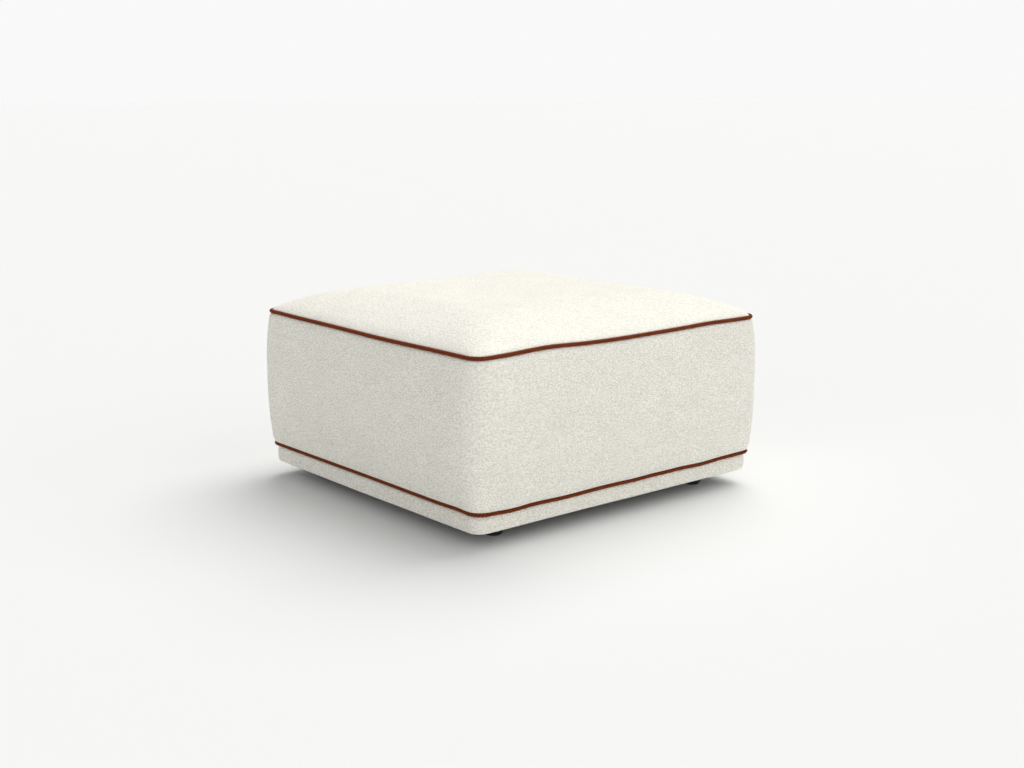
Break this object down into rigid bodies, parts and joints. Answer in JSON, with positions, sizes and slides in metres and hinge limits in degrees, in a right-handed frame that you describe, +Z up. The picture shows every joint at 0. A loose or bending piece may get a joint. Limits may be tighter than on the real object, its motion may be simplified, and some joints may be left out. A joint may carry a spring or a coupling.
{
  "type": "ottoman",
  "caption": "Low square upholstered ottoman: a crowned top and a full boxing band in looped cloth, twisted cord in the seams, an inset padded plinth and short round feet.",
  "frame": {"origin": "centre of the bounding box on the floor, under the middle of the ottoman", "axes": "+X to the right along the slightly longer side, +Y to the back, +Z up; the front faces -Y"},
  "size_m": [0.8544, 0.8274, 0.4528],
  "materials": {
    "black_wood": "satin black paint on turned wood",
    "felt": "dark felt",
    "zinc_steel": "zinc plated",
    "insert_brass": "plain",
    "plywood": "sawn plywood",
    "hardboard": "smooth hardboard",
    "beech": "fluted dowel",
    "softwood": "planed softwood",
    "webbing": "woven elastic webbing",
    "black_lining": "non-woven lining",
    "deck_lining": "non-woven lining",
    "foam": "open-cell foam",
    "wadding": "fibre wadding",
    "cream_cloth": "looped, matte",
    "rust_cord": "twisted, soft sheen"
  },
  "bodies": {
    "root": {"foot_front_left": "black_wood", "foot_front_right": "black_wood", "foot_back_left": "black_wood", "foot_back_right": "black_wood", "felt_glides": "felt", "foot_studs": "zinc_steel", "tee_nuts": "zinc_steel", "plinth_rail_front": "softwood", "plinth_rail_back": "softwood", "plinth_rail_left": "softwood", "plinth_rail_right": "softwood", "plinth_cross_rail": "softwood", "plinth_block_front_left": "plywood", "plinth_block_front_right": "plywood", "plinth_block_back_left": "plywood", "plinth_block_back_right": "plywood", "wood_screws": "zinc_steel", "plinth_padding": "wadding", "plinth_cover": "cream_cloth", "dust_cover": "black_lining", "dust_cover_staples": "zinc_steel", "joining_bolts": "zinc_steel", "bolt_washers": "zinc_steel", "threaded_inserts": "insert_brass", "corner_post_front_left": "softwood", "corner_post_front_right": "softwood", "corner_post_back_left": "softwood", "corner_post_back_right": "softwood", "lower_rail_front": "softwood", "lower_rail_back": "softwood", "lower_rail_left": "softwood", "lower_rail_right": "softwood", "upper_rail_front": "softwood", "upper_rail_back": "softwood", "upper_rail_left": "softwood", "upper_rail_right": "softwood", "centre_rail": "softwood", "rail_dowels": "beech", "side_panel_front": "hardboard", "side_panel_back": "hardboard", "side_panel_left": "hardboard", "side_panel_right": "hardboard", "panel_pins": "zinc_steel", "webbing_lengthways": "webbing", "webbing_crossways": "webbing", "webbing_staples": "zinc_steel", "deck_cloth": "deck_lining", "side_foam_front": "foam", "side_foam_back": "foam", "side_foam_left": "foam", "side_foam_right": "foam", "seat_foam": "foam", "seat_topper": "foam", "side_wadding": "wadding", "top_wadding": "wadding", "body_under_cloth": "black_lining", "cover_band": "cream_cloth", "cover_top": "cream_cloth", "cord_top": "rust_cord", "cord_bottom": "rust_cord"}
  },
  "joints": []
}
